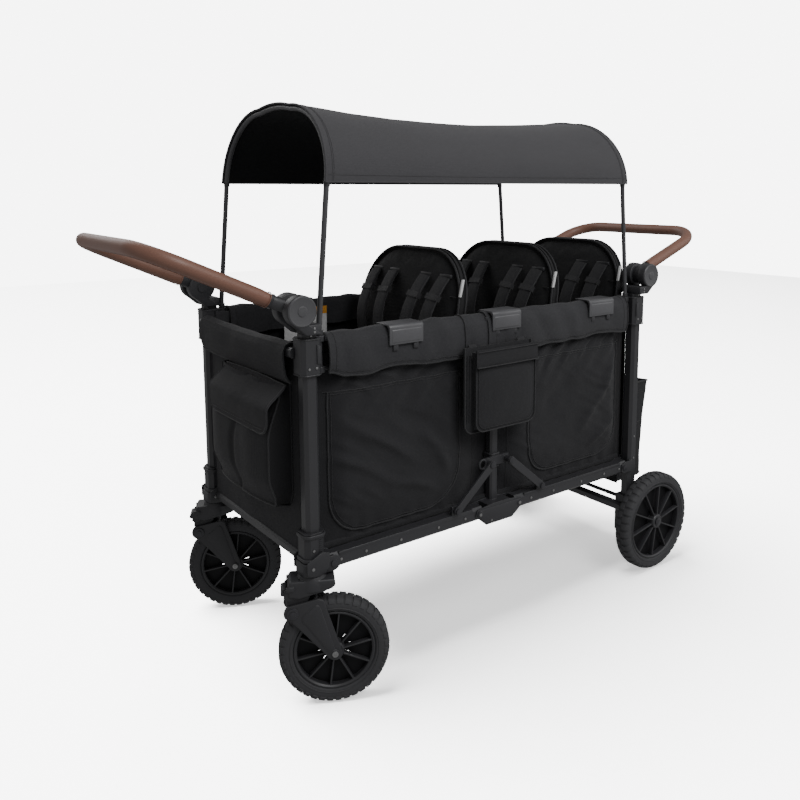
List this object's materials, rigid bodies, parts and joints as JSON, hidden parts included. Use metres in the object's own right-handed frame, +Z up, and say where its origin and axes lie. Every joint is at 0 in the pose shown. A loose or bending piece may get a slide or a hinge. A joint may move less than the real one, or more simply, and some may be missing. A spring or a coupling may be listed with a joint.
{
  "type": "kids pull wagon",
  "caption": "Folding pull wagon for children with rows of seats, arched canopy, two loop handles, sprung swivel front wheels and a rear foot brake",
  "frame": {"origin": "on the floor under the middle of the wagon", "axes": "+Z up, +X from the swivelling front wheels towards the fixed rear wheels, -Y towards the left side that carries the pocket"},
  "size_m": [1.8256, 0.714, 1.377],
  "materials": {
    "frame_steel": "satin black powder coat",
    "moulded_plastic": "fine-textured black moulded plastic",
    "tyre_foam": "matt foam tyre",
    "wheel_plastic": "satin moulded plastic",
    "brown_leather": "stitched brown leatherette",
    "black_cloth": "woven polyester with a slight sheen",
    "canopy_cloth": "plain woven charcoal polyester",
    "seat_cloth": "padded woven polyester"
  },
  "bodies": {
    "rear_frame": {"rear_frame": "frame_steel", "rear_axle_block_left": "moulded_plastic", "rear_axle_block_right": "moulded_plastic", "top_bracket_rear_left": "moulded_plastic", "top_bracket_rear_right": "moulded_plastic", "handle_hub_rear_left": "moulded_plastic", "handle_hub_rear_right": "moulded_plastic", "tub": "black_cloth", "seat_1": "seat_cloth", "seat_2": "seat_cloth", "seat_3": "seat_cloth", "rear_basket": "black_cloth"},
    "front_frame": {"front_frame": "frame_steel", "caster_socket_left": "moulded_plastic", "caster_socket_right": "moulded_plastic", "top_bracket_front_left": "moulded_plastic", "top_bracket_front_right": "moulded_plastic", "handle_hub_front_left": "moulded_plastic", "handle_hub_front_right": "moulded_plastic"},
    "rear_rails": {"bottom_rail_rear_left": "frame_steel", "bottom_rail_rear_right": "frame_steel"},
    "front_rails": {"bottom_rail_front_left": "frame_steel", "bottom_rail_front_right": "frame_steel"},
    "rear_top_rails": {"top_rail_rear_left": "frame_steel", "top_rail_rear_right": "frame_steel"},
    "front_top_rails": {"top_rail_front_left": "frame_steel", "top_rail_front_right": "frame_steel"},
    "centre_posts": {"centre_post_left": "frame_steel", "centre_post_right": "frame_steel", "side_pocket": "black_cloth"},
    "brace_collars": {"brace_collar_left": "moulded_plastic", "brace_collar_right": "moulded_plastic"},
    "rear_braces": {"brace_rear_left": "frame_steel", "brace_rear_right": "frame_steel"},
    "front_braces": {"brace_front_left": "frame_steel", "brace_front_right": "frame_steel"},
    "front_handle": {"handle_front_tube": "moulded_plastic", "handle_front_grip": "brown_leather"},
    "rear_handle": {"handle_rear_tube": "moulded_plastic", "handle_rear_grip": "brown_leather"},
    "front_canopy_hoop": {"canopy_hoop_front": "frame_steel"},
    "rear_canopy_hoop": {"canopy_hoop_rear": "frame_steel", "canopy_cover": "canopy_cloth"},
    "brake_pedal": {"brake_pedal": "moulded_plastic"},
    "button_front_left": {"release_button_front_left": "moulded_plastic"},
    "button_front_right": {"release_button_front_right": "moulded_plastic"},
    "button_rear_left": {"release_button_rear_left": "moulded_plastic"},
    "button_rear_right": {"release_button_rear_right": "moulded_plastic"},
    "caster_left": {"caster_yoke_left": "moulded_plastic"},
    "caster_arm_left": {"caster_arm_left": "moulded_plastic"},
    "front_wheel_left": {"front_tyre_left": "tyre_foam", "front_rim_left": "wheel_plastic"},
    "rear_wheel_left": {"rear_tyre_left": "tyre_foam", "rear_rim_left": "wheel_plastic"},
    "caster_right": {"caster_yoke_right": "moulded_plastic"},
    "caster_arm_right": {"caster_arm_right": "moulded_plastic"},
    "front_wheel_right": {"front_tyre_right": "tyre_foam", "front_rim_right": "wheel_plastic"},
    "rear_wheel_right": {"rear_tyre_right": "tyre_foam", "rear_rim_right": "wheel_plastic"}
  },
  "joints": [
    {"name": "brake_pedal", "type": "hinge", "parent": "rear_frame", "child": "brake_pedal", "pos_m": [0.592, 0, 0.196], "axis": [0, 1, 0], "range_deg": [0, 18]},
    {"name": "canopy_lift", "type": "slide", "parent": "rear_frame", "child": "rear_canopy_hoop", "axis": [0, 0, 1], "range_m": [0, 0.075]},
    {"name": "canopy_lift_front", "type": "slide", "parent": "front_frame", "child": "front_canopy_hoop", "axis": [0, 0, 1], "range_m": [0, 0.075]},
    {"name": "fold", "type": "hinge", "parent": "rear_frame", "child": "rear_rails", "pos_m": [0.511, 0, 0.33], "axis": [0, 1, 0], "range_deg": [0, 68], "deforming": ["tub", "seat_1", "seat_2", "seat_3", "canopy_cover"]},
    {"name": "fold_centre_post", "type": "hinge", "parent": "rear_rails", "child": "centre_posts", "pos_m": [0.07, 0, 0.33], "axis": [0, 1, 0], "range_deg": [-68, 0]},
    {"name": "fold_front_rail", "type": "hinge", "parent": "centre_posts", "child": "front_rails", "pos_m": [-0.07, 0, 0.33], "axis": [0, 1, 0], "range_deg": [-68, 0]},
    {"name": "fold_front_frame", "type": "hinge", "parent": "front_rails", "child": "front_frame", "pos_m": [-0.511, 0, 0.33], "axis": [0, 1, 0], "range_deg": [0, 68]},
    {"name": "fold_rear_top_rail", "type": "hinge", "parent": "rear_frame", "child": "rear_top_rails", "pos_m": [0.486, 0, 0.825], "axis": [0, 1, 0], "range_deg": [0, 68]},
    {"name": "fold_front_top_rail", "type": "hinge", "parent": "centre_posts", "child": "front_top_rails", "pos_m": [-0.045, 0, 0.825], "axis": [0, 1, 0], "range_deg": [-68, 0]},
    {"name": "fold_collar", "type": "slide", "parent": "centre_posts", "child": "brace_collars", "axis": [0, 0, 1], "range_m": [-0.07182, 0]},
    {"name": "fold_rear_brace", "type": "hinge", "parent": "rear_rails", "child": "rear_braces", "pos_m": [0.15, 0, 0.36], "axis": [0, 1, 0], "range_deg": [-56.84, 0]},
    {"name": "fold_front_brace", "type": "hinge", "parent": "front_rails", "child": "front_braces", "pos_m": [-0.15, 0, 0.36], "axis": [0, 1, 0], "range_deg": [0, 56.84]},
    {"name": "handle_front", "type": "hinge", "parent": "front_frame", "child": "front_handle", "pos_m": [-0.585, 0, 0.915], "axis": [0, 1, 0], "range_deg": [-98, 40]},
    {"name": "handle_rear", "type": "hinge", "parent": "rear_frame", "child": "rear_handle", "pos_m": [0.585, 0, 0.915], "axis": [0, -1, 0], "range_deg": [-94, 44]},
    {"name": "caster_swivel_left", "type": "hinge", "parent": "front_frame", "child": "caster_left", "pos_m": [-0.555, -0.272, 0.3], "axis": [0, 0, 1], "continuous": true},
    {"name": "caster_swivel_right", "type": "hinge", "parent": "front_frame", "child": "caster_right", "pos_m": [-0.555, 0.272, 0.3], "axis": [0, 0, 1], "continuous": true},
    {"name": "release_button_front_left", "type": "slide", "parent": "front_frame", "child": "button_front_left", "axis": [0, -1, 0], "range_m": [0, 0.004], "stiffness_N_per_m": 500, "springref_m": -0.002},
    {"name": "release_button_front_right", "type": "slide", "parent": "front_frame", "child": "button_front_right", "axis": [0, 1, 0], "range_m": [0, 0.004], "stiffness_N_per_m": 500, "springref_m": -0.002},
    {"name": "release_button_rear_left", "type": "slide", "parent": "rear_frame", "child": "button_rear_left", "axis": [0, -1, 0], "range_m": [0, 0.004], "stiffness_N_per_m": 500, "springref_m": -0.002},
    {"name": "release_button_rear_right", "type": "slide", "parent": "rear_frame", "child": "button_rear_right", "axis": [0, 1, 0], "range_m": [0, 0.004], "stiffness_N_per_m": 500, "springref_m": -0.002},
    {"name": "spring_arm_left", "type": "hinge", "parent": "caster_left", "child": "caster_arm_left", "pos_m": [-0.5951, -0.25157, 0.232], "axis": [-0.454, -0.891, 0], "range_deg": [0, 10], "stiffness_Nm_per_rad": 90, "springref_deg": -9.17},
    {"name": "wheel_spin_front_left", "type": "hinge", "parent": "caster_arm_left", "child": "front_wheel_left", "pos_m": [-0.51223, -0.29379, 0.127], "axis": [0.454, 0.891, 0], "continuous": true},
    {"name": "spring_arm_right", "type": "hinge", "parent": "caster_right", "child": "caster_arm_right", "pos_m": [-0.5951, 0.29243, 0.232], "axis": [-0.454, -0.891, 0], "range_deg": [0, 10], "stiffness_Nm_per_rad": 90, "springref_deg": -9.17},
    {"name": "wheel_spin_front_right", "type": "hinge", "parent": "caster_arm_right", "child": "front_wheel_right", "pos_m": [-0.51223, 0.25021, 0.127], "axis": [0.454, 0.891, 0], "continuous": true},
    {"name": "wheel_spin_rear_left", "type": "hinge", "parent": "rear_frame", "child": "rear_wheel_left", "pos_m": [0.612, -0.322, 0.15], "axis": [0, 1, 0], "continuous": true},
    {"name": "wheel_spin_rear_right", "type": "hinge", "parent": "rear_frame", "child": "rear_wheel_right", "pos_m": [0.612, 0.322, 0.15], "axis": [0, 1, 0], "continuous": true}
  ],
  "couplings": [
    {"joint": "canopy_lift_front", "follows": "canopy_lift", "ratio": 1},
    {"joint": "fold_centre_post", "follows": "fold", "ratio": -1},
    {"joint": "fold_front_rail", "follows": "fold", "ratio": -1},
    {"joint": "fold_front_frame", "follows": "fold", "ratio": 1},
    {"joint": "fold_rear_top_rail", "follows": "fold", "ratio": 1},
    {"joint": "fold_front_top_rail", "follows": "fold", "ratio": -1},
    {"joint": "fold_collar", "follows": "fold", "m_per_rad": -0.06009},
    {"joint": "fold_rear_brace", "follows": "fold", "ratio": -0.82856},
    {"joint": "fold_front_brace", "follows": "fold", "ratio": 0.82856}
  ]
}
